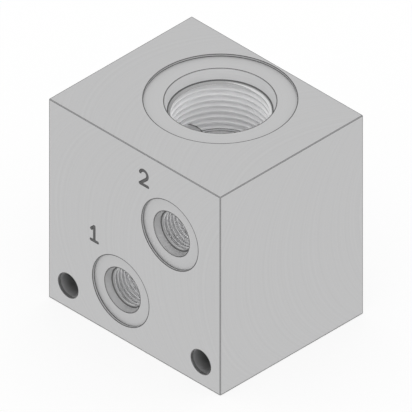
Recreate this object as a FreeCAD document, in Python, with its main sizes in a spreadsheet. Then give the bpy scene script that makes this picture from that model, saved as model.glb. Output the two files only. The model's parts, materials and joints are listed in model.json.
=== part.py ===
import FreeCAD, Part
import math
import os
from types import SimpleNamespace

import Sketcher

# A hydraulic manifold block, machined from one aluminium bar, that carries one screw-in
# cartridge valve and joins it to four threaded ports.
#
# Frame: the origin is the middle of the bottom face. X runs along the width, the two gauge
# ports are in the front face (-Y), and the cartridge cavity opens upwards (+Z).
# Every hole has a stepped round section, as its form drill leaves it. Thread and cavity
# depths run from the spotface, the shallow ring round the mouth that a fitting seats on.

# Driving dimensions, in millimetres, and in degrees between a cone's side and its axis
SIZES = {
    # The bar
    "block_width": 76.2,
    "block_depth": 63.5,
    "block_height": 76.2,
    "edge_break": 0.15,
    # The cartridge cavity, threaded 1-5/16 by 12 to the inch
    "cavity_from_front": 38.1,
    "cavity_thread_dia": 33.34,
    "cavity_thread_height": 0.985,
    "cavity_thread_depth": 22.5,
    "cavity_seat_width": 1.005,
    "cavity_land_width": 6.575,
    "cavity_spotface_depth": 0.8,
    "gallery_length": 13.6,
    "nose_step": 1.385,
    "nose_lead_angle": 30.0,
    "nose_corner": 1.5,
    "nose_web": 0.7,
    # The four ports, threaded 9/16 by 18 to the inch
    "port_thread_dia": 14.29,
    "port_thread_height": 0.595,
    "port_thread_depth": 12.7,
    "port_seat_width": 0.655,
    "port_land_width": 4.65,
    "port_spotface_depth": 0.8,
    "seat_angle": 15.0,
    "side_port_level": 25.5,
    # The drillings behind the two gauge ports
    "tap_runout": 2.7,
    "drill_point_angle": 59.0,
    "gauge_drill_dia": 6.35,
    "gauge_floor_gap": 0.8,
    "gauge_side_offset": 6.15,
    # The two plain mounting holes
    "mounting_hole_dia": 8.74,
    "mounting_hole_inset": 8.64,
}

# What the sketches call their own origin point and horizontal axis, the two ends of a line,
# and the centre of a circle
ORIGIN = (-1, 1)
AXIS = -1
START, END, CENTRE = 1, 2, 3

NODE = "manifold_block"


class Dimension:
    """A size bound to the sheet: the expression that drives it, and its value now."""

    def __init__(self, text, value):
        self.text = text
        self.value = value

    def __add__(self, other):
        return Dimension(f"({self.text} + {other.text})", self.value + other.value)

    def __sub__(self, other):
        return Dimension(f"({self.text} - {other.text})", self.value - other.value)

    def __neg__(self):
        return Dimension(f"(-{self.text})", -self.value)

    def half(self):
        return Dimension(f"({self.text} / 2)", self.value / 2)


ZERO = Dimension("0", 0.0)


def make_sheet(doc):
    """Puts the driving dimensions in the document's spreadsheet and returns them by name."""
    sheet = doc.addObject("Spreadsheet::Sheet", "Sizes")
    for row, (name, value) in enumerate(SIZES.items(), start=1):
        sheet.set(f"A{row}", name)
        sheet.set(f"B{row}", str(value))
        sheet.setAlias(f"B{row}", name)
    doc.recompute()
    bound = {name: Dimension(f"Sizes.{name}", value) for name, value in SIZES.items()}
    return SimpleNamespace(**bound)


def derive(size):
    """Adds the sizes and places that follow from the driving ones."""
    size.front = -size.block_depth.half()
    size.left = -size.block_width.half()
    size.cavity_y = size.front + size.cavity_from_front
    size.side_port_z = size.block_height - size.side_port_level
    # The gallery is the ring round the valve between the thread and the nose
    size.gallery_radius = size.cavity_thread_dia.half() - size.cavity_thread_height
    size.nose_radius = size.gallery_radius - size.nose_step
    # Port 1's thread stops just under the floor of the nose bore
    size.nose_floor = size.port_spotface_depth + size.port_thread_depth + size.nose_web
    size.gauge_drill_radius = size.gauge_drill_dia.half()
    # One gauge drilling runs along the nose floor, the other grazes the gallery's wall
    size.gauge_1_z = size.nose_floor + size.gauge_floor_gap + size.gauge_drill_radius
    size.gauge_1_x = -size.gauge_side_offset
    size.gauge_2_x = size.gallery_radius
    size.mounting_x = size.block_width.half() - size.mounting_hole_inset


def origin_plane(body, role):
    """Returns the body's own origin plane with this role, such as XY_Plane."""
    return next(part for part in body.Origin.OriginFeatures if part.Role == role)


def new_sketch(body, name, plane, place=(), turn=0):
    """Starts a sketch on an origin plane, moved to place and turned in its own plane."""
    sketch = body.newObject("Sketcher::SketchObject", name)
    sketch.AttachmentSupport = (origin_plane(body, plane), [""])
    sketch.MapMode = "FlatFace"
    rotation = FreeCAD.Rotation(FreeCAD.Vector(0, 0, 1), turn)
    corner = FreeCAD.Vector(*[part.value for part in place])
    sketch.AttachmentOffset = FreeCAD.Placement(corner, rotation)
    for axis, part in zip("xyz", place):
        sketch.setExpression(f".AttachmentOffset.Base.{axis}", part.text)
    return sketch


def bind(sketch, kind, where, size):
    """Adds a dimension to the sketch and ties it to the sheet."""
    value = math.radians(size.value) if kind == "Angle" else size.value
    index = sketch.addConstraint(Sketcher.Constraint(kind, *where, value))
    sketch.setExpression(f"Constraints[{index}]", size.text)


def draw_rectangle(sketch, width, depth):
    """Draws a rectangle centred on the sketch's origin."""
    x, y = width.value / 2, depth.value / 2
    corners = [FreeCAD.Vector(*at) for at in ((-x, -y), (x, -y), (x, y), (-x, y))]
    count = len(corners)
    for index, corner in enumerate(corners):
        sketch.addGeometry(Part.LineSegment(corner, corners[(index + 1) % count]))
    for line in range(count):
        following = (line + 1) % count
        sketch.addConstraint(Sketcher.Constraint("Coincident", line, END, following, START))
        sketch.addConstraint(Sketcher.Constraint("Vertical" if line % 2 else "Horizontal", line))
    opposite = count // 2
    sketch.addConstraint(Sketcher.Constraint("Symmetric", 0, START, opposite, START, *ORIGIN))
    bind(sketch, "DistanceX", (0, START, 0, END), width)
    bind(sketch, "DistanceY", (1, START, 1, END), depth)


def draw_section(sketch, steps):
    """Draws half of a hole's section, with depth along x and distance from the axis along y.

    Each step says where the next line ends: a depth with the radius kept, a radius with the
    depth kept, both, or the radius that a cone narrows to and its angle. The last radius is
    ZERO, on the axis.
    """
    at = FreeCAD.Vector(0, 0)
    end = ORIGIN
    for step in steps:
        depth, radius, angle = (step.get(word) for word in ("depth", "radius", "angle"))
        reach = FreeCAD.Vector(at)
        if depth:
            reach.x = depth.value
        if radius:
            reach.y = radius.value
        if angle:
            reach.x += (at.y - reach.y) / math.tan(math.radians(angle.value))
        line = sketch.addGeometry(Part.LineSegment(at, reach))
        sketch.addConstraint(Sketcher.Constraint("Coincident", line, START, *end))
        if angle:
            bind(sketch, "Angle", (line,), -angle)
        elif not radius:
            sketch.addConstraint(Sketcher.Constraint("Horizontal", line))
        elif not depth:
            sketch.addConstraint(Sketcher.Constraint("Vertical", line))
        if depth:
            bind(sketch, "DistanceX", (*ORIGIN, line, END), depth)
        if radius is ZERO:
            sketch.addConstraint(Sketcher.Constraint("PointOnObject", line, END, AXIS))
        elif radius:
            bind(sketch, "DistanceY", (*ORIGIN, line, END), radius)
        at, end = reach, (line, END)
    last = sketch.addGeometry(Part.LineSegment(at, FreeCAD.Vector(0, 0)))
    sketch.addConstraint(Sketcher.Constraint("Coincident", last, START, *end))
    sketch.addConstraint(Sketcher.Constraint("Coincident", last, END, *ORIGIN))


def mouth_steps(spotface_depth, land_width, seat_width, seat_angle, thread, thread_depth, tapped):
    """A hole from its spotface, down the cone that seats the O-ring, to its thread's end.

    thread is the radius of the thread's outer edge, and tapped that of the drill before it.
    """
    return [
        dict(radius=thread + seat_width + land_width),
        dict(depth=spotface_depth),
        dict(radius=thread + seat_width),
        dict(radius=thread, angle=seat_angle),
        dict(depth=spotface_depth + thread_depth),
        dict(radius=tapped),
    ]


def cavity_steps(size):
    """The cavity: its mouth, the gallery round the valve, and the bore for the valve's nose."""
    gallery_end = size.cavity_spotface_depth + size.cavity_thread_depth + size.gallery_length
    floor = size.block_height - size.nose_floor
    mouth = mouth_steps(
        size.cavity_spotface_depth,
        size.cavity_land_width,
        size.cavity_seat_width,
        size.seat_angle,
        size.cavity_thread_dia.half(),
        size.cavity_thread_depth,
        size.gallery_radius,
    )
    return mouth + [
        dict(depth=gallery_end),
        dict(radius=size.nose_radius, angle=size.nose_lead_angle),
        dict(depth=floor - size.nose_corner),
        dict(depth=floor, radius=size.nose_radius - size.nose_corner),
        dict(radius=ZERO),
    ]


def port_steps(size):
    """A straight-thread O-ring port, which all four ports share."""
    return mouth_steps(
        size.port_spotface_depth,
        size.port_land_width,
        size.port_seat_width,
        size.seat_angle,
        size.port_thread_dia.half(),
        size.port_thread_depth,
        size.port_thread_dia.half() - size.port_thread_height,
    )


def main_port_steps(size, reach):
    """A main port, whose tap drill runs on into the cavity."""
    return port_steps(size) + [dict(depth=reach), dict(radius=ZERO)]


def gauge_port_steps(size):
    """A gauge port: a blind tap drill, then a thin drilling as deep as the cavity's axis."""
    thread_end = size.port_spotface_depth + size.port_thread_depth
    return port_steps(size) + [
        dict(depth=thread_end + size.tap_runout),
        dict(radius=size.gauge_drill_radius, angle=size.drill_point_angle),
        dict(depth=size.cavity_from_front),
        dict(radius=ZERO, angle=size.drill_point_angle),
    ]


def cut_round(body, name, sketch, steps):
    """Turns the section about its axis and takes it out of the body."""
    draw_section(sketch, steps)
    groove = body.newObject("PartDesign::Groove", name)
    groove.Profile = sketch
    groove.ReferenceAxis = (sketch, ["H_Axis"])
    groove.Angle = 360
    finish_cut(body, groove)


def finish_cut(body, feature):
    """Recomputes the body, and stops if the new feature took nothing away."""
    before = body.Shape.Volume
    body.Document.recompute()
    if not body.Shape.Volume < before:
        raise RuntimeError(f"{feature.Name} removed no material")


def make_stock(body, size):
    """The sawn and milled bar, with all twelve edges broken."""
    sketch = new_sketch(body, "stock_outline", "XY_Plane")
    draw_rectangle(sketch, size.block_width, size.block_depth)
    pad = body.newObject("PartDesign::Pad", "stock")
    pad.Profile = sketch
    pad.setExpression("Length", size.block_height.text)
    body.Document.recompute()
    chamfer = body.newObject("PartDesign::Chamfer", "broken_edges")
    edges = [f"Edge{number}" for number, _ in enumerate(pad.Shape.Edges, start=1)]
    chamfer.Base = (pad, edges)
    chamfer.setExpression("Size", size.edge_break.text)
    finish_cut(body, chamfer)


def cut_cavity(body, size):
    """The cartridge cavity, down from the top face."""
    place = (ZERO, size.block_height, -size.cavity_y)
    sketch = new_sketch(body, "cavity_section", "XZ_Plane", place, turn=-90)
    cut_round(body, "cavity", sketch, cavity_steps(size))


def cut_main_ports(body, size):
    """Port 1, up from the bottom face to the nose, and port 2, from the left to the gallery."""
    place = (ZERO, ZERO, -size.cavity_y)
    sketch = new_sketch(body, "port_1_section", "XZ_Plane", place, turn=90)
    cut_round(body, "port_1", sketch, main_port_steps(size, size.nose_floor + size.nose_corner))
    place = (size.left, size.side_port_z, -size.cavity_y)
    sketch = new_sketch(body, "port_2_section", "XZ_Plane", place)
    cut_round(body, "port_2", sketch, main_port_steps(size, size.block_width.half()))


def cut_gauge_ports(body, size):
    """The two gauge ports, back from the front face: 1 to the nose bore, 2 to the gallery."""
    centres = {1: (size.gauge_1_x, size.gauge_1_z), 2: (size.gauge_2_x, size.side_port_z)}
    for number, (x, z) in centres.items():
        sketch = new_sketch(body, f"gauge_port_{number}_section", "YZ_Plane", (size.front, z, x))
        cut_round(body, f"gauge_port_{number}", sketch, gauge_port_steps(size))


def drill_mounting_holes(body, size):
    """Two plain bolt holes, straight through from front to back near the bottom corners."""
    sketch = new_sketch(body, "mounting_hole_centres", "XZ_Plane", (ZERO, ZERO, -size.front))
    x, z = size.mounting_x, size.mounting_hole_inset
    radius = size.mounting_hole_dia.half()
    for side, reach in ((-1, -x), (1, x)):
        centre = FreeCAD.Vector(reach.value, z.value)
        circle = sketch.addGeometry(Part.Circle(centre, FreeCAD.Vector(0, 0, 1), radius.value))
        ends = (circle, CENTRE, *ORIGIN) if side < 0 else (*ORIGIN, circle, CENTRE)
        bind(sketch, "DistanceX", ends, x)
        bind(sketch, "DistanceY", (*ORIGIN, circle, CENTRE), z)
        bind(sketch, "Radius", (circle,), radius)
    body.Document.recompute()
    hole = body.newObject("PartDesign::Hole", "mounting_holes")
    hole.Profile = sketch
    hole.DepthType = "ThroughAll"
    hole.Threaded = False
    hole.setExpression("Diameter", size.mounting_hole_dia.text)
    finish_cut(body, hole)


def check(doc, body):
    """Stops unless every object recomputed and the block is one sound solid."""
    failed = [part.Name for part in doc.Objects if {"Invalid", "Error"} & set(part.State)]
    if failed:
        raise RuntimeError(f"not recomputed: {', '.join(failed)}")
    shape = body.Shape
    if shape.isNull() or not shape.isValid() or len(shape.Solids) != 1:
        raise RuntimeError(f"{body.Label} is not one valid solid")


def main():
    doc = FreeCAD.newDocument("hydraulic_manifold_block")
    size = make_sheet(doc)
    derive(size)
    body = doc.addObject("PartDesign::Body", "Body")
    body.Label = NODE
    make_stock(body, size)
    cut_cavity(body, size)
    cut_main_ports(body, size)
    cut_gauge_ports(body, size)
    drill_mounting_holes(body, size)
    check(doc, body)
    os.makedirs("parts", exist_ok=True)
    body.Shape.exportStep(f"parts/{body.Label}.step")


main()
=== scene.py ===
# %% [markdown]
# # A hydraulic manifold block
#
# The real part is one piece of aluminium bar, milled square. A cartridge valve screws into the
# big stepped hole in its top, and hoses and gauges screw into the four smaller holes. The packed
# model holds the same block with plain round walls. Here it is machined once more in finer
# detail: real threads, engraved port numbers, and the marks that each cutter leaves behind.

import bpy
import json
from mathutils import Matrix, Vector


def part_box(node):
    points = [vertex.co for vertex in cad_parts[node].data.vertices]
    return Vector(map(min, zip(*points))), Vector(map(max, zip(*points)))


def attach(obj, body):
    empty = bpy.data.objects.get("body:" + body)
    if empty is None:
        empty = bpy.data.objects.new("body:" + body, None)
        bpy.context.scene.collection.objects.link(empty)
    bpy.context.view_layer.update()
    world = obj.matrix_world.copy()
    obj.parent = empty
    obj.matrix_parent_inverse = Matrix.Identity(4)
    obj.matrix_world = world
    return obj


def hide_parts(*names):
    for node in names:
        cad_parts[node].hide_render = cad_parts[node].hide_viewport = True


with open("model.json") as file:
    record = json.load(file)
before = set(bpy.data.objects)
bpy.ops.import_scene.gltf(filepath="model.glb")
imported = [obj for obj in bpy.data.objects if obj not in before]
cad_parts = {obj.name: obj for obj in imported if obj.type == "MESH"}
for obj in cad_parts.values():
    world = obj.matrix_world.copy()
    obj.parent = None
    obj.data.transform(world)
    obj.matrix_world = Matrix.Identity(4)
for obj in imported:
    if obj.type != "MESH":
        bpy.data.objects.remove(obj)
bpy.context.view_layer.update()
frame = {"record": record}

# %% [markdown]
# ## Where things are
#
# A drawing gives each hole by the centre of its mouth, the way it points, and how deep each step
# lies. The packed record has all three: a threaded hole is a mount with a point at the middle of
# its thread, a length, and an axis that points out of the block. Following the axis to the
# block's face gives the mouth. Measuring by eye would do for a picture, but then the finer block
# could drift off the packed one.

# %% Find the mouth of each hole
import json
import math

import bpy
from mathutils import Matrix, Vector

MM = 0.001
NODE = "manifold_block"
low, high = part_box(NODE)
middle = (low + high) / 2
mounts = {mount["name"]: mount for mount in frame["record"]["mounts"]}


def mouth_of(name):
    """The middle of a hole's mouth, on the face that its axis leaves by."""
    axis, point = Vector(mounts[name]["axis"]), Vector(mounts[name]["pos_m"])
    face = Vector([high[i] if axis[i] > 0 else low[i] for i in range(3)])
    return point + axis * axis.dot(face - point)


CAVITY, NOSE = "cartridge_cavity", "nose_bore"
PORTS = ("port_1", "port_2", "gauge_port_1", "gauge_port_2")
for name in (CAVITY, *PORTS):
    print(name, "opens at", [round(x / MM, 2) for x in mouth_of(name)], "mm")

# %% Measure how deep a hole's wall starts and ends
def wall_of(name):
    """The depths below the mouth between which a hole keeps the radius of its mount."""
    centre = (mouth_of(name) - Vector(mounts[name]["pos_m"])).length
    half = mounts[name]["dims"]["length_mm"] * MM / 2
    return centre - half, centre + half


for name in (CAVITY, NOSE, *PORTS):
    print(name, "has its wall from", *[round(depth / MM, 2) for depth in wall_of(name)], "mm down")

# %% [markdown]
# ## Writing a finish as a sum
#
# A cutter's marks are a sum: so far along, so far across, so far from the axis. Blender adds up
# numbers on a surface with Math nodes, and wiring them by hand hides the sum. The class Mark
# holds one number that varies over the surface, and + - * on it add the Math nodes.

# %% A number that varies over the surface
class Mark:
    """A number that varies over the surface. A sum written with it becomes Math nodes."""

    def __init__(self, finish, socket):
        self.finish, self.socket = finish, socket

    def maths(self, operation, first, second=0.0):
        return self.finish.node("ShaderNodeMath", {"operation": operation}, {0: first, 1: second})

    def __add__(self, other):
        return self.maths("ADD", self, other)

    def __radd__(self, other):
        return self.maths("ADD", other, self)

    def __sub__(self, other):
        return self.maths("SUBTRACT", self, other)

    def __rsub__(self, other):
        return self.maths("SUBTRACT", other, self)

    def __mul__(self, other):
        return self.maths("MULTIPLY", self, other)

    def __rmul__(self, other):
        return self.maths("MULTIPLY", other, self)

    def root(self):
        return self.maths("SQRT", self)

    def least(self, other):
        return self.maths("MINIMUM", self, other)

    def around(self, level, spread):
        """Turns a mark from 0 to 1 into a number that strays from a level by half the spread."""
        return self * spread + (level - spread / 2)


print("a mark takes + - * and", [word for word in vars(Mark) if not word.startswith("_")])

# %% [markdown]
# Every other kind of node is added by one method, node, which sets the node up first and then
# fills its sockets with plain values or with marks. The class Finish holds one material and has
# the few marks that all of the block's finishes are made from: where a point lies, lines along a
# cutter's path, and the grain of the metal.

# %% A material and its marks
class Finish:
    """The material of a surface, and the marks on it."""

    def __init__(self, name, metallic=1.0):
        self.material = bpy.data.materials.new(name)
        self.material.use_nodes = True
        self.tree = self.material.node_tree
        self.shader = self.tree.nodes["Principled BSDF"]
        self.shader.inputs["Metallic"].default_value = metallic

    def node(self, kind, settings, sockets, output=0):
        """Adds a node: its settings first, then the value or the link of each socket named."""
        node = self.tree.nodes.new(kind)
        for setting, value in settings.items():
            setattr(node, setting, value)
        for socket, value in sockets.items():
            if isinstance(value, Mark):
                self.tree.links.new(value.socket, node.inputs[socket])
            else:
                node.inputs[socket].default_value = value
        return Mark(self, node.outputs[output])

    def place(self):
        """Where a point lies on the block: its x, y and z in millimetres."""
        metres = self.node("ShaderNodeTexCoord", {}, {}, "Object")
        millimetres = self.node(
            "ShaderNodeVectorMath", {"operation": "SCALE"}, {0: metres, "Scale": 1 / MM}
        )
        return [self.node("ShaderNodeSeparateXYZ", {}, {0: millimetres}, axis) for axis in range(3)]

    def ramp(self, mark, start, end):
        """Goes from 0 to 1 as the mark goes from start to end, and no further."""
        return self.node(
            "ShaderNodeMapRange", {}, {"Value": mark, "From Min": start, "From Max": end}
        )

    def lines(self, mark, per_mm):
        """Uneven lines that follow wherever the mark keeps one value. About a half on average."""
        return self.node(
            "ShaderNodeTexNoise", {"noise_dimensions": "1D"},
            {"W": mark, "Scale": per_mm, "Detail": 3.0, "Roughness": 0.6},
        )

    def grain(self, per_mm):
        """A fine speckle all over. About a half on average."""
        metres = self.node("ShaderNodeTexCoord", {}, {}, "Object")
        return self.node(
            "ShaderNodeTexNoise", {},
            {"Vector": metres, "Scale": per_mm / MM, "Detail": 2.0, "Roughness": 0.5},
        )


print("a finish offers", [word for word in vars(Finish) if not word.startswith("_")])

# %% [markdown]
# A finish ends in three marks that the shader takes: how light the metal is, how rough, and how
# high its surface stands. Aluminium is very slightly blue. A Math node would turn that colour
# grey, so the lightness goes through a Mix node, as the factor between black and a near-white.
# A Mix node has sockets for every kind of value, and those for colours are called by number.

# %% Dress a finish
ALUMINIUM = (0.995, 0.995, 1.0, 1)
BLACK = (0, 0, 0, 1)
FACTOR, FIRST_COLOUR, SECOND_COLOUR = 0, 6, 7
MIXED_COLOUR = 2


def dress(finish, grey, roughness, height, depth):
    """Gives the shader its grey, its roughness, and marks that are so deep."""
    mix = {FACTOR: grey, FIRST_COLOUR: BLACK, SECOND_COLOUR: ALUMINIUM}
    colour = finish.node("ShaderNodeMix", {"data_type": "RGBA"}, mix, MIXED_COLOUR)
    bump = finish.node("ShaderNodeBump", {}, {"Height": height, "Distance": depth})
    for socket, mark in (("Base Color", colour), ("Roughness", roughness), ("Normal", bump)):
        finish.tree.links.new(mark.socket, finish.shader.inputs[socket])
    print(finish.material.name, "is made of", len(finish.tree.nodes), "nodes")
    return finish.material


# %% [markdown]
# ## The milled faces
#
# A face mill is a disc wider than the block with cutting tips round its rim. As it crosses the
# face, each tip leaves an arc, and the arcs lie one behind the other at the feed. An image of
# scratches would need laying out on six faces. A sum doesn't: an arc is every point with the
# same value of how far along it lies, plus the height of the arc at that far across. The real
# marks can only just be felt, so they change the shade by two or three per cent.

# %% Mill the faces
FACE_GREY = 0.53
MILL_RADIUS_MM = 50.0
ARCS_PER_MM = 0.9
ARC_SHADE = 0.14
MILLED_GRAIN = 2.5
MILLED_GRAIN_SHADE = 0.06
MILLED_ROUGHNESS = (0.4, 0.16)
MARK_DEPTH = 0.02 * MM


def milled(name, along, across):
    """The marks of a face mill that crosses the face along one axis."""
    finish = Finish(name)
    place = finish.place()
    off_centre = place[across] - middle[across] / MM
    arc = place[along] + (MILL_RADIUS_MM ** 2 - off_centre * off_centre).root()
    passes = finish.lines(arc, ARCS_PER_MM)
    grain = finish.grain(MILLED_GRAIN)
    grey = FACE_GREY * (passes.around(1, ARC_SHADE) + grain.around(0, MILLED_GRAIN_SHADE))
    return dress(finish, grey, passes.around(*MILLED_ROUGHNESS), passes, MARK_DEPTH)


X, Y, Z = range(3)
milled_by_axis = [
    milled("milled_sides", Y, Z),
    milled("milled_front_and_back", X, Z),
    milled("milled_top_and_base", X, Y),
]

# %% [markdown]
# ## The turned holes
#
# A tool that turns on its axis leaves rings. They are the points with the same distance from the
# axis on a flat step, and the same depth on a wall, so the sum of the two serves for both, and
# for the cones between. Holes with parallel axes share one finish, which takes the nearest axis.
# The spotfaces are as dull as the faces round them. Below them, the walls are painted lighter than
# the faces, and lighter still the deeper they lie: painted light against the shade in the holes.
# Only the drilled mounting holes are painted darker with depth instead, a painted shade deep in the
# hole.

# %% Measure from an axis
def axis_of(name):
    """The number of the axis that a hole runs along."""
    return max(range(3), key=lambda i: abs(mounts[name]["axis"][i]))


def distance_from(place, axis, centre):
    """How far a point lies from an axis through a centre, in millimetres."""
    first, second = [i for i in range(3) if i != axis]
    one_way = place[first] - centre[first] / MM
    other_way = place[second] - centre[second] / MM
    return (one_way * one_way + other_way * other_way).root()


print("port 2 runs along axis", axis_of("port_2"))

# %% [markdown]
# Port 2's drill breaks out in the cavity's wall, and the edge that it leaves there is drawn as a
# dark line of painted shade. On a round wall that edge is a saddle, which no form tool follows.
# But it is easy to say which points lie on it: those up to a third of a millimetre outside the
# drill, on the port's own side of the cavity.

# %% Paint shade along the edge where a drill breaks out
PORT_THREAD_HEIGHT = 0.595 * MM
BREAKOUT_MM = (0.35, 0.3)
BREAKOUT_SHADE = 0.25

port_thread = mounts["port_2"]["dims"]["r_mm"] * MM
port_tapped = port_thread - PORT_THREAD_HEIGHT


def breakout(finish, place, name):
    """1 along the edge of a port's tap drill in the cavity's wall, and 0 elsewhere."""
    axis = axis_of(name)
    outside = distance_from(place, axis, mouth_of(name)) - port_tapped / MM
    from_middle = (place[axis] - mouth_of(CAVITY)[axis] / MM) * mounts[name]["axis"][axis]
    return finish.ramp(outside, *BREAKOUT_MM) * finish.ramp(from_middle, 0, 1)


print("the drill of port 2 is", round(2 * port_tapped / MM, 2), "mm across")

# %% Turn the holes
SPOTFACE = 0.8 * MM
PAINTED_LIGHT_START_MM = (0.1, 0.3)
RINGS_PER_MM = 2.0
RING_SHADE = 0.12
TURNED_GRAIN = 3.0
TURNED_GRAIN_SHADE = 0.03
TURNED_ROUGHNESS = (0.5, 0.2)
RING_DEPTH = 0.01 * MM


def turned(name, axis, centres, painted_greys, depths, metallic, broken_into_by=None):
    """Rings round the nearest axis, and painted light and shade from one grey to another between
    two depths in millimetres.
    """
    finish = Finish(name, metallic)
    place = finish.place()
    nearest = None
    for centre in centres:
        distance = distance_from(place, axis, centre)
        nearest = nearest.least(distance) if nearest else distance
    rings = finish.lines(nearest + place[axis], RINGS_PER_MM)
    grain = finish.grain(TURNED_GRAIN)
    depth = (place[axis] - low[axis] / MM).least(high[axis] / MM - place[axis])
    below_spotface = finish.ramp(depth, *[SPOTFACE / MM + more for more in PAINTED_LIGHT_START_MM])
    # Painted light and shade: the wall turns lighter below the spotface, then changes with depth,
    # lighter deeper in a turned hole and darker deeper in a drilled one.
    inside = below_spotface * (painted_greys[0] - FACE_GREY)
    deep = finish.ramp(depth, *depths) * (painted_greys[1] - painted_greys[0])
    shade = rings.around(1, RING_SHADE) + grain.around(0, TURNED_GRAIN_SHADE)
    grey = (FACE_GREY + inside + deep) * shade
    # Painted shade: a dark line along the edge where the port's drill breaks out.
    if broken_into_by:
        grey = grey * (1 - breakout(finish, place, broken_into_by) * (1 - BREAKOUT_SHADE))
    return dress(finish, grey, rings.around(*TURNED_ROUGHNESS), rings, RING_DEPTH)


pattern = mounts["mounting_holes"]
spacing = Vector((pattern["dims"]["spacing_x_mm"] * MM, 0, 0))
hole_centres = [Vector(pattern["pos_m"]) + side * spacing / 2 for side in (-1, 1)]
gauge_centres = [mouth_of(name) for name in ("gauge_port_1", "gauge_port_2")]
# Painted light: in these holes the walls are lighter below the spotface and lighter still deeper
# in.
turned_by_axis = [
    turned(
        "turned_sideways_painted_light", X, [mouth_of("port_2")],
        painted_greys=(0.7, 0.97), depths=(4, 12), metallic=0.4,
    ),
    turned(
        "turned_front_to_back_painted_light", Y, gauge_centres,
        painted_greys=(0.66, 0.96), depths=(4, 9), metallic=0.7,
    ),
    turned(
        "turned_upright_painted_light", Z, [mouth_of(CAVITY)],
        painted_greys=(0.76, 0.99), depths=(4.5, 8.5), metallic=0.4, broken_into_by="port_2",
    ),
]
# Painted light at the mouth of a mounting hole, and painted shade deeper in.
drilled = turned(
    "drilled", Y, hole_centres,
    painted_greys=(0.97, 0.3), depths=(1, 8), metallic=1.0,
)

# %% [markdown]
# ## The dull places
#
# No cutter reaches a broken edge squarely. A brush or a file does it, and it stays dull. Its grey
# is painted far darker than the faces, a painted shade that makes every edge of the block read as
# a fine line, and the chamfers are painted darker too. The lead of a thread is dull too. The wall
# of a spotface is dull and painted light against its shade, and the engraved grooves are dull and
# painted nearly black, a painted shade in them.

# %% Rub the edges
RUBBED_GRAIN = 4.0
RUBBED_SHADE = 0.4
RUBBED_ROUGHNESS = (0.5, 0.2)
RUBBED_DEPTH = 0.01 * MM


def rubbed(name, grey):
    """A dull surface with nothing but the grain of the metal."""
    finish = Finish(name)
    grain = finish.grain(RUBBED_GRAIN)
    speckled = grey * grain.around(1, RUBBED_SHADE)
    return dress(finish, speckled, grain.around(*RUBBED_ROUGHNESS), grain, RUBBED_DEPTH)


# Painted shade: the broken edges and the chamfers are coloured far darker than the faces, so that
# each edge reads as a line.
painted_edge_shade = rubbed("painted_edge_shade", grey=0.13)
chamfer = rubbed("chamfer", grey=0.37)
# Painted light: the spotface's wall is coloured lighter than the faces, against its shade.
spotface_wall_painted_light = rubbed("spotface_wall_painted_light", grey=0.7)
thread_lead = rubbed("thread_lead", grey=0.42)
# Painted shade: the engraved grooves are coloured nearly black.
engraved = rubbed("engraved", grey=0.15)

# %% [markdown]
# ## The bar
#
# The block starts as a piece of bar with its six faces milled and all twelve edges broken with a
# small chamfer, so that it is safe to hold. A cube at the block's size, with its edges bevelled
# in edit mode, is that piece of bar. A hair's width of each face next to the chamfer is an
# inset, painted dark as a painted shade along the edge.

# %% Mill the bar and break its edges
EDGE_BREAK = 0.15 * MM
PAINTED_SHADE_BORDER = 0.18 * MM
FLAT = 0.99

bpy.ops.object.select_all(action="DESELECT")
bpy.ops.mesh.primitive_cube_add(size=1, location=middle)
block = bpy.context.object
block.name = "machined_block"
bar_finishes = [*milled_by_axis, painted_edge_shade, chamfer]
for material in bar_finishes:
    block.data.materials.append(material)
bpy.ops.object.mode_set(mode="EDIT")
bpy.ops.mesh.select_mode(type="FACE")
bpy.ops.mesh.select_all(action="SELECT")
bpy.ops.transform.resize(value=high - low, center_override=middle)
bpy.ops.mesh.bevel(offset=EDGE_BREAK, segments=1, affect="EDGES")
bpy.ops.mesh.select_all(action="DESELECT")
bpy.ops.object.mode_set(mode="OBJECT")
bpy.ops.object.transform_apply(location=True, rotation=True, scale=True)
print("bar:", [round(x / MM, 2) for x in block.dimensions], "mm")

# %% Paint shade on the faces along the chamfers
for face in block.data.polygons:
    face.select = max(abs(x) for x in face.normal) > FLAT
    face.material_index = bar_finishes.index(painted_edge_shade if face.select else chamfer)
bpy.ops.object.mode_set(mode="EDIT")
# The border that the inset leaves keeps the painted shade of the edge.
bpy.ops.mesh.inset(thickness=PAINTED_SHADE_BORDER, depth=0)
bpy.ops.mesh.select_mode(type="VERT")
bpy.ops.object.mode_set(mode="OBJECT")
for face in block.data.polygons:
    if face.select:
        face.material_index = max(range(3), key=lambda axis: abs(face.normal[axis]))
print("bar with dulled borders:", len(block.data.polygons), "faces")

# %% [markdown]
# ## Form tools
#
# Each hole is cut by a form tool, one cutter ground to the whole stepped outline of the hole. Its
# outline could be drawn and spun, but extruding a disc step by step is closer to how a drawing
# is read: go this deep, then change to that radius. Each step also names the finish that it
# leaves. The tool stands upright with the mouth of its hole at height 0.

# %% Turn a form tool
ABOVE = 1.0 * MM


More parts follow.
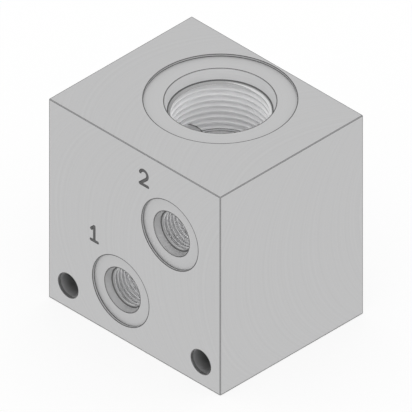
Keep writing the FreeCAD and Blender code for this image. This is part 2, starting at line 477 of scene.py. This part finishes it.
def turn_tool(steps, sides):
    """A solid tool. A step is (depth, radius, finish) down its outline. Radius 0 is a point."""
    depth, radius = -ABOVE, steps[0][1]
    bpy.ops.object.select_all(action="DESELECT")
    bpy.ops.mesh.primitive_circle_add(
        vertices=sides, radius=radius, fill_type="NGON", location=(0, 0, ABOVE)
    )
    tool = bpy.context.object
    bpy.ops.object.mode_set(mode="EDIT")
    bpy.ops.mesh.select_all(action="SELECT")
    between = []
    for deeper, wide, finish in steps:
        between.append(((depth + deeper) / 2, (radius + wide) / 2, finish))
        bpy.ops.mesh.extrude_region_move(TRANSFORM_OT_translate={"value": (0, 0, depth - deeper)})
        if wide:
            scale = wide / radius
            centre = (0, 0, -deeper)
            bpy.ops.transform.resize(value=(scale, scale, scale), center_override=centre)
        else:
            bpy.ops.mesh.merge(type="CENTER")
        depth, radius = deeper, wide
    bpy.ops.mesh.select_all(action="SELECT")
    bpy.ops.mesh.normals_make_consistent(inside=False)
    bpy.ops.object.mode_set(mode="OBJECT")
    bpy.ops.object.transform_apply(location=True, rotation=True, scale=True)
    lay_finishes(tool, between, sides)
    return tool


# %% Give each step of a tool its finish
def lay_finishes(tool, between, sides):
    """Gives each face of a tool the finish of the step whose middle it lies at."""
    finishes = []
    for face in tool.data.polygons:
        deep, out = -face.center.z, face.center.xy.length / math.cos(math.pi / sides)
        finish = min(between, key=lambda step: math.hypot(step[0] - deep, step[1] - out))[2]
        if finish not in finishes:
            finishes.append(finish)
            tool.data.materials.append(finish)
        face.material_index = finishes.index(finish)
    print("tool:", len(tool.data.polygons), "faces,", [finish.name for finish in finishes])


# %% [markdown]
# The tool is then turned to point into the block and moved to its hole, and a Boolean modifier
# takes its shape away. Set to transfer materials, the modifier also leaves the tool's finish on
# what it cuts, as a real cutter does, so no cut face has to be found and coloured afterwards.

# %% Cut with a tool
def cut(tool):
    """Takes the tool's shape out of the block, and leaves the tool's finish there."""
    bpy.context.view_layer.objects.active = block
    bpy.ops.object.modifier_add(type="BOOLEAN")
    modifier = block.modifiers[-1]
    modifier.operation = "DIFFERENCE"
    modifier.solver = "EXACT"
    modifier.material_mode = "TRANSFER"
    modifier.object = tool
    bpy.ops.object.modifier_apply(modifier=modifier.name)
    bpy.data.objects.remove(tool)


def cut_at(name, tool):
    """Moves an upright tool to a hole's mouth, points it into the block, and cuts."""
    turn = Vector(mounts[name]["axis"]).to_track_quat("Z", "X").to_matrix().to_4x4()
    tool.data.transform(Matrix.Translation(mouth_of(name)) @ turn)
    cut(tool)
    print("after", name, "the block has", len(block.data.polygons), "faces")


# %% [markdown]
# ## The mouth of a port
#
# All five threaded holes open in the same way: a shallow spotface for the flange of a fitting or
# a valve, a cone that squeezes its O-ring, and a short lead into the thread. Each rim has a dark
# ring of painted shade about a third of a millimetre wide, and there is a painted dark lip on the
# wall under the first. A dark ring of painted shade lies in the corner at the foot of the spotface,
# and one lies where the cone ends, while the spotface's wall is painted light. They could be
# painted on by distance from the axis, as the edge in the cavity was, but the edges of paint blur.
# Here each is a face of its own, and the rings on the flat are a step too shallow to see.

# %% Outline the mouth of a port
SEAT_ANGLE = math.radians(15)
RIM = 0.3 * MM
RIM_DEPTH = 0.02 * MM
LIP = 0.12 * MM
CORNER = 0.25 * MM
SEAT_STOP = 0.1 * MM
ENTRY = 0.36 * MM


def mouth_steps(name, finish, land, thread_height):
    """A port's outline as far as the lead of its thread."""
    thread = mounts[name]["dims"]["r_mm"] * MM
    seat_end = wall_of(name)[0]
    seat = thread + (seat_end - SPOTFACE) * math.tan(SEAT_ANGLE)
    spot = seat + land
    entry = seat_end - ENTRY / 2
    return [
        # Dark rings of painted shade at the rims, under the first rim, at the spotface's foot and
        # where the cone ends.
        (RIM_DEPTH, spot + RIM, painted_edge_shade),
        (RIM_DEPTH, spot, painted_edge_shade),
        (LIP, spot, painted_edge_shade),
        (SPOTFACE - CORNER, spot, spotface_wall_painted_light),
        (SPOTFACE, spot, painted_edge_shade),
        (SPOTFACE, seat + RIM, finish),
        (SPOTFACE + RIM_DEPTH, seat + RIM, painted_edge_shade),
        (SPOTFACE + RIM_DEPTH, seat, painted_edge_shade),
        (entry, thread + SEAT_STOP, finish),
        (entry + ENTRY, thread + SEAT_STOP - ENTRY, painted_edge_shade),
        (entry + SEAT_STOP + thread_height, thread - thread_height, thread_lead),
    ]


PORT_LAND = 4.65 * MM
mouth = mouth_steps("port_1", turned_by_axis[Z], PORT_LAND, PORT_THREAD_HEIGHT)
print("depth and radius down a port's mouth:", [
    (round(depth / MM, 2), round(radius / MM, 2)) for depth, radius, _ in mouth
])


# %% [markdown]
# ## The cartridge cavity
#
# Below its mouth, the cavity has the thread that holds the valve, a gallery where oil flows
# round the valve, a lead-in cone, and the bore that the valve's nose seals in. All of them could
# be cut one after another, but one form tool cuts them in line, as it does in a workshop. The
# thread's wall is first cut to the tapping size and threaded later. Below the thread's end, a
# narrow plain band runs round the wall, with a dark line of painted shade at each of its edges.

# %% Cut the cavity
CAVITY_LAND = 6.575 * MM
CAVITY_THREAD_HEIGHT = 0.985 * MM
NOSE_LEAD = math.radians(30)
NOSE_CORNER = 1.5 * MM
PLAIN_BAND = 0.75 * MM
PAINTED_SHADE_LINE = 0.2 * MM
CAVITY_SIDES = 128

upright = turned_by_axis[Z]
cavity_thread = mounts[CAVITY]["dims"]["r_mm"] * MM
cavity_tapped = cavity_thread - CAVITY_THREAD_HEIGHT
nose = mounts[NOSE]["dims"]["r_mm"] * MM
nose_start = mouth_of(CAVITY).z - Vector(mounts[NOSE]["pos_m"]).z
nose_half = mounts[NOSE]["dims"]["length_mm"] * MM / 2
nose_top, nose_bottom = nose_start - nose_half, nose_start + nose_half
gallery_end = nose_top - (cavity_tapped - nose) / math.tan(NOSE_LEAD)
cavity_floor = nose_bottom + NOSE_CORNER
thread_end = wall_of(CAVITY)[1]
cut_at(CAVITY, turn_tool(
    mouth_steps(CAVITY, upright, CAVITY_LAND, CAVITY_THREAD_HEIGHT) + [
        (thread_end - PLAIN_BAND, cavity_tapped, upright),
        # A dark line of painted shade at each edge of the plain band.
        (thread_end - PLAIN_BAND + PAINTED_SHADE_LINE, cavity_tapped, painted_edge_shade),
        (thread_end, cavity_tapped, upright),
        (thread_end + PAINTED_SHADE_LINE, cavity_tapped, painted_edge_shade),
        (gallery_end, cavity_tapped, upright),
        (nose_top, nose, upright),
        (nose_bottom, nose, upright),
        (cavity_floor, nose - NOSE_CORNER, upright),
    ],
    CAVITY_SIDES,
))

# %% [markdown]
# ## The four ports
#
# The two main ports run straight into the cavity: port 1 from below into its floor, port 2 from
# the side into its gallery. The two gauge ports are blind. Each ends in the cone of its tap
# drill and goes on as a narrow drilling that meets the oil, with a cone of its own. Each could
# have a tool drawn for it, but only the part below the thread differs, so all four mouths come
# from the same outline.

# %% Cut the ports
TAP_RUNOUT = 2.7 * MM
DRILL_POINT = math.radians(59)
GAUGE_DRILL = 3.175 * MM
PORT_SIDES = 80

axis_from_front = mouth_of(CAVITY).y - low.y
tap_drilled = wall_of("gauge_port_1")[1] + TAP_RUNOUT
blind = [
    (tap_drilled, port_tapped),
    (tap_drilled + (port_tapped - GAUGE_DRILL) / math.tan(DRILL_POINT), GAUGE_DRILL),
    (axis_from_front, GAUGE_DRILL),
    (axis_from_front + GAUGE_DRILL / math.tan(DRILL_POINT), 0),
]
below_thread = {
    "port_1": [(high.z - low.z - cavity_floor + NOSE_CORNER, port_tapped)],
    "port_2": [(mouth_of(CAVITY).x - low.x, port_tapped)],
    "gauge_port_1": blind,
    "gauge_port_2": blind,
}


def finish_along(name):
    """The turned finish whose rings lie round a hole's axis."""
    return turned_by_axis[axis_of(name)]


for name in PORTS:
    finish = finish_along(name)
    steps = mouth_steps(name, finish, PORT_LAND, PORT_THREAD_HEIGHT)
    steps += [(depth, radius, finish) for depth, radius in below_thread[name]]
    cut_at(name, turn_tool(steps, PORT_SIDES))

# %% [markdown]
# ## The mounting holes
#
# Two plain holes run from front to back near the base, for the bolts that hold the block to a
# machine. Their walls are drilled and rougher than the bored ones, painted light at the mouth
# and painted shade deeper in. A cylinder would cut each, but both of its ends have a dark rim
# of painted shade, and a form tool with a wider step at either end brings those rims along.

# %% Drill the mounting holes
HOLE_RIM = 0.2 * MM
HOLE_SIDES = 48

hole = pattern["dims"]["hole_r_mm"] * MM
through = high.y - low.y
# Both rims of a mounting hole are dark rings of painted shade.
hole_steps = [
    (RIM_DEPTH, hole + HOLE_RIM, painted_edge_shade),
    (RIM_DEPTH, hole, painted_edge_shade),
    (through - RIM_DEPTH, hole, drilled),
    (through - RIM_DEPTH, hole + HOLE_RIM, painted_edge_shade),
    (through + ABOVE, hole + HOLE_RIM, painted_edge_shade),
]
forward = Matrix.Rotation(math.radians(90), 4, "X")
for centre in hole_centres:
    drill = turn_tool(hole_steps, HOLE_SIDES)
    drill.data.transform(Matrix.Translation((centre.x, low.y, centre.z)) @ forward)
    cut(drill)
print("after the mounting holes the block has", len(block.data.polygons), "faces")

# %% [markdown]
# ## The port numbers
#
# The gauge ports are told apart by a number engraved beside each. An engraving mill has a round
# nose and follows a single line, so its grooves are equally wide and round at both ends. A font
# would give letters with two edges, filled flat. Here each stroke is a line of points, measured
# from the middle of the number in parts of its height. They are extruded one from the next and
# turned into a tube that lies partly in the face, and a ball at each end rounds it off. A stroke
# with a sharp corner is cut as two. The balls stand askew, because a cut can leave a gap where
# corners of two tools fall on one point.

# %% Draw the strokes of the numbers
CAP = 5.5 * MM
BOWL = 0.3
BOWL_CENTRE = Vector((0, 0.2))
BOWL_START = math.radians(165)
BOWL_PARTS = 16
HEEL = Vector((-0.31, -0.5))


def two_stroke():
    """The upper stroke of a 2: round its bowl, and straight down once in line with its heel."""
    reach = HEEL - BOWL_CENTRE
    bowl_end = math.atan2(reach.y, reach.x) + math.acos(BOWL / reach.length)
    turn = (bowl_end - BOWL_START) / BOWL_PARTS
    angles = [BOWL_START + turn * i for i in range(BOWL_PARTS + 1)]
    return [BOWL_CENTRE + BOWL * Vector((math.cos(a), math.sin(a))) for a in angles] + [HEEL]


STROKES = {
    "1": [
        [Vector((-0.24, 0.27)), Vector((0.0, 0.5))],
        [Vector((0.0, 0.5)), Vector((0.0, -0.5))],
        [Vector((-0.27, -0.5)), Vector((0.27, -0.5))],
    ],
    "2": [two_stroke(), [HEEL, Vector((0.33, -0.5))]],
}
LABELS = {"1": (-17.88 * MM, 34.34 * MM), "2": (4.11 * MM, 66.88 * MM)}
print("the bowl of the 2 ends at", [round(x, 3) for x in STROKES["2"][0][-2]])

# %% Engrave them
MILL_NOSE = 0.6 * MM
LIFT = 0.2 * MM
TUBE_ROUNDNESS = 6
BALL_FIT = 1.01
BALL_SIDES, BALL_RINGS = 24, 12
ASKEW = (0.2, 0.3, 0.4)
MERGED = 0.001 * MM


def tube(points):
    """A tube along a line of points. The first is a plane merged into one."""
    bpy.ops.object.select_all(action="DESELECT")
    bpy.ops.mesh.primitive_plane_add(size=CAP, location=(0, 0, 0))
    bpy.ops.object.mode_set(mode="EDIT")
    bpy.ops.mesh.select_all(action="SELECT")
    bpy.ops.mesh.merge(type="CENTER")
    bpy.ops.transform.translate(value=points[0])
    for here, there in zip(points, points[1:]):
        bpy.ops.mesh.extrude_vertices_move(TRANSFORM_OT_translate={"value": there - here})
    bpy.ops.object.mode_set(mode="OBJECT")
    bpy.ops.object.convert(target="CURVE")
    curve = bpy.context.object.data
    curve.bevel_depth = MILL_NOSE
    curve.bevel_resolution = TUBE_ROUNDNESS
    curve.use_fill_caps = True
    bpy.ops.object.convert(target="MESH")
    bpy.ops.object.mode_set(mode="EDIT")
    bpy.ops.mesh.select_all(action="SELECT")
    bpy.ops.mesh.remove_doubles(threshold=MERGED)
    bpy.ops.object.mode_set(mode="OBJECT")
    return bpy.context.object


def ball(place):
    """A ball that rounds the end of a groove, a touch wider than the tube that it covers."""
    bpy.ops.object.select_all(action="DESELECT")
    bpy.ops.mesh.primitive_uv_sphere_add(
        segments=BALL_SIDES, ring_count=BALL_RINGS, radius=MILL_NOSE * BALL_FIT,
        location=place, rotation=ASKEW,
    )
    bpy.ops.object.transform_apply(location=True, rotation=True, scale=True)
    return bpy.context.object


def engrave(shape):
    """Cuts the shape out of the block and leaves a dull groove, painted dark as painted shade."""
    shape.data.materials.clear()
    shape.data.materials.append(engraved)
    cut(shape)


for number, (x, z) in LABELS.items():
    ends = []
    for stroke in STROKES[number]:
        points = [Vector((x + CAP * point.x, low.y - LIFT, z + CAP * point.y)) for point in stroke]
        engrave(tube(points))
        ends += [end for end in (points[0], points[-1]) if end not in ends]
    for end in ends:
        engrave(ball(end))
    print("after number", number, "the block has", len(block.data.polygons), "faces")

# %% [markdown]
# ## The threads
#
# Both sizes are inch threads with sixty-degree flanks: twelve turns to the inch in the cavity,
# eighteen in the ports. A bump map would look like a thread from straight on, but a port is
# looked into at a slant, where only real ridges hide one another. The tap is the outline of one
# tooth, wound up the axis by a Screw modifier and cut off square at both ends. It is turned by a
# part of a facet and keeps clear of the steps above and below it, so that neither its corners
# nor its flat ends meet those of the hole.

# %% Wind a tap
INCH = 25.4 * MM
FLANK = math.radians(30)
CREST = 1 / 8
INSIDE = 0.25 * MM
OFF_CORNER = 0.37
TURNS_BELOW = 2
SPARE_TURNS = 3


def wind_tap(finish, major, tapped, pitch, start, end, sides):
    """A tap that threads a hole between two depths."""
    inner = tapped - INSIDE
    rise = (major - inner) * math.tan(FLANK)
    crest = pitch * CREST
    outline = [
        (0, pitch - crest - 2 * rise),
        (major - inner, rise),
        (0, crest),
        (inner - major, rise),
    ]
    bpy.ops.object.select_all(action="DESELECT")
    bpy.ops.mesh.primitive_plane_add(size=pitch, location=(0, 0, 0))
    tap = bpy.context.object
    tap.data.materials.append(finish)
    bpy.ops.object.mode_set(mode="EDIT")
    bpy.ops.mesh.select_all(action="SELECT")
    bpy.ops.mesh.merge(type="CENTER")
    bottom = -end - TURNS_BELOW * pitch + OFF_CORNER * pitch / sides
    bpy.ops.transform.translate(value=(inner, 0, bottom))
    for outward, upward in outline:
        bpy.ops.mesh.extrude_vertices_move(TRANSFORM_OT_translate={"value": (outward, 0, upward)})
    bpy.ops.object.mode_set(mode="OBJECT")
    bpy.ops.object.modifier_add(type="SCREW")
    winding = tap.modifiers[-1]
    winding.screw_offset = pitch
    winding.iterations = math.ceil((end - start) / pitch) + SPARE_TURNS
    winding.steps = winding.render_steps = sides
    bpy.ops.object.modifier_apply(modifier=winding.name)
    trim_tap(start, end)
    tap.data.transform(Matrix.Rotation(OFF_CORNER * math.tau / sides, 4, "Z"))
    print("tap:", round((end - start) / pitch, 1), "turns,", len(tap.data.polygons), "faces")
    return tap


# %% Cut the tap off square at both ends
ON_PLANE = MERGED / 10


def trim_tap(start, end):
    """Joins the turns of the tap and closes it with a flat face at each depth."""
    bpy.ops.object.mode_set(mode="EDIT")
    bpy.ops.mesh.select_all(action="SELECT")
    bpy.ops.mesh.remove_doubles(threshold=MERGED)
    for height, upward in ((-end, 1), (-start, -1)):
        bpy.ops.mesh.select_all(action="SELECT")
        bpy.ops.mesh.bisect(
            plane_co=(0, 0, height), plane_no=(0, 0, upward),
            use_fill=True, clear_inner=True, threshold=ON_PLANE,
        )
    bpy.ops.mesh.select_all(action="SELECT")
    bpy.ops.mesh.normals_make_consistent(inside=False)
    bpy.ops.object.mode_set(mode="OBJECT")


# %% Tap the cavity and the ports
CAVITY_PITCH = INCH / 12
PORT_PITCH = INCH / 18
CLEAR = 0.1 * MM

cut_at(CAVITY, wind_tap(
    upright, cavity_thread, cavity_tapped, CAVITY_PITCH,
    wall_of(CAVITY)[0] + RIM + CLEAR, thread_end - PLAIN_BAND - CLEAR, CAVITY_SIDES,
))
for name in PORTS:
    cut_at(name, wind_tap(
        finish_along(name), port_thread, port_tapped, PORT_PITCH,
        wall_of(name)[0] + RIM + CLEAR, wall_of(name)[1] - CLEAR, PORT_SIDES,
    ))

# %% [markdown]
# ## Hand the block over
#
# The walls are made of flats a few degrees apart, and smooth shading hides them, while every
# real edge is sharper than twenty-five degrees and stays crisp. The new block stands for the
# packed one and moves with the same body. A closed mesh has two faces at every edge, which is
# counted.

# %% Shade the block and check it
SHARP = math.radians(25)

bpy.ops.object.select_all(action="DESELECT")
block.select_set(True)
bpy.context.view_layer.objects.active = block
bpy.ops.object.shade_smooth_by_angle(angle=SHARP)
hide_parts(NODE)
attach(block, "root")
faces_at = {}
for face in block.data.polygons:
    for edge in face.edge_keys:
        faces_at[edge] = faces_at.get(edge, 0) + 1
block.data.calc_loop_triangles()
print(len(block.data.loop_triangles), "triangles,",
      sum(count != 2 for count in faces_at.values()), "open edges")
print("finishes:", [slot.name for slot in block.material_slots])

# %% [markdown]
# ## The floor
#
# The photograph has a white ground and hardly any shadow. More light would whiten a pale floor
# and bleach the block too. Instead, four fifths of what the camera sees of the floor glows at
# exactly white, and the rest is lit like anything else, so a faint shadow stays. Polished metal
# sees the floor as white too. Under the block nothing glows, so its holes look down on the dark.
# That is told by the square of how far off the middle a point lies, which is alike on both sides.

# %% Lay the floor
WHITE = (1, 1, 1, 1)
GLOW = 0.8
FADE_SQUARE_MM = 1.0
FLOOR_SIZE = 40
BELOW = 0.02 * MM

bpy.ops.object.select_all(action="DESELECT")
bpy.ops.mesh.primitive_plane_add(size=FLOOR_SIZE, location=(0, 0, low.z - BELOW))
floor = bpy.context.object
floor.name = "floor"
paper = Finish("white_paper")
camera_sees = paper.node("ShaderNodeLightPath", {}, {}, "Is Camera Ray")
metal_sees = paper.node("ShaderNodeLightPath", {}, {}, "Is Glossy Ray")
across, along, _ = paper.place()
half = (high - low) / 2 / MM
beside = paper.ramp(across * across, half.x ** 2 - FADE_SQUARE_MM, half.x ** 2)
before = paper.ramp(along * along, half.y ** 2 - FADE_SQUARE_MM, half.y ** 2)
glowing = (camera_sees * GLOW + metal_sees * (1 - camera_sees)) * (beside + before).least(1.0)
lit = paper.node("ShaderNodeBsdfDiffuse", {}, {"Color": WHITE})
glow = paper.node("ShaderNodeEmission", {}, {"Color": WHITE, "Strength": 1.0})
surface = paper.node("ShaderNodeMixShader", {}, {FACTOR: glowing, 1: lit, 2: glow})
paper.tree.links.new(surface.socket, paper.tree.nodes["Material Output"].inputs["Surface"])
paper.tree.nodes.remove(paper.shader)
paper.material.cycles.emission_sampling = "NONE"
floor.data.materials.append(paper.material)
print("the floor lies", round((low.z - floor.location.z) / MM, 3), "mm below the block")

# %% [markdown]
# ## The light
#
# The photograph's three faces have one and the same grey, which only light from all round gives,
# as in a white tent. Lamps would make one face lighter than the next. So the room itself shines,
# at the strength at which a grey renders as it is written, and only the holes get darker.

# %% Light the room
world = bpy.data.worlds.new("white_tent")
bpy.context.scene.world = world
world.use_nodes = True
sky = world.node_tree.nodes["Background"]
sky.inputs["Color"].default_value = WHITE
sky.inputs["Strength"].default_value = 1.0
print("the room shines at", sky.inputs["Strength"].default_value)

# %% [markdown]
# ## The camera
#
# The photograph is an isometric view: the three faces are seen at the same slant and parallel
# edges stay parallel. That is a camera without perspective, an eighth of a turn round from the
# front and looking down at the angle whose sine is the tangent of thirty degrees. Its scale is
# the photograph's: so many pixels to an inch across the view.

# %% Set up the camera
FRAME_PIXELS = 412
PIXELS_PER_INCH = 80.84

azimuth, elevation = math.radians(45), math.asin(math.tan(math.radians(30)))
towards_camera = Vector((
    math.sin(azimuth) * math.cos(elevation),
    -math.cos(azimuth) * math.cos(elevation),
    math.sin(elevation),
))
bpy.ops.object.camera_add(location=middle + towards_camera)
camera = bpy.context.object
camera.rotation_euler = (-towards_camera).to_track_quat("-Z", "Y").to_euler()
camera.data.type = "ORTHO"
camera.data.ortho_scale = FRAME_PIXELS / PIXELS_PER_INCH * INCH
bpy.context.scene.camera = camera
bpy.context.scene.view_settings.view_transform = "Standard"
print("the view is", round(camera.data.ortho_scale / MM, 1), "mm wide")

# %% [markdown]
# ## The same box
#
# Machining only takes metal away, so the finer block must fill the same box as the packed one.
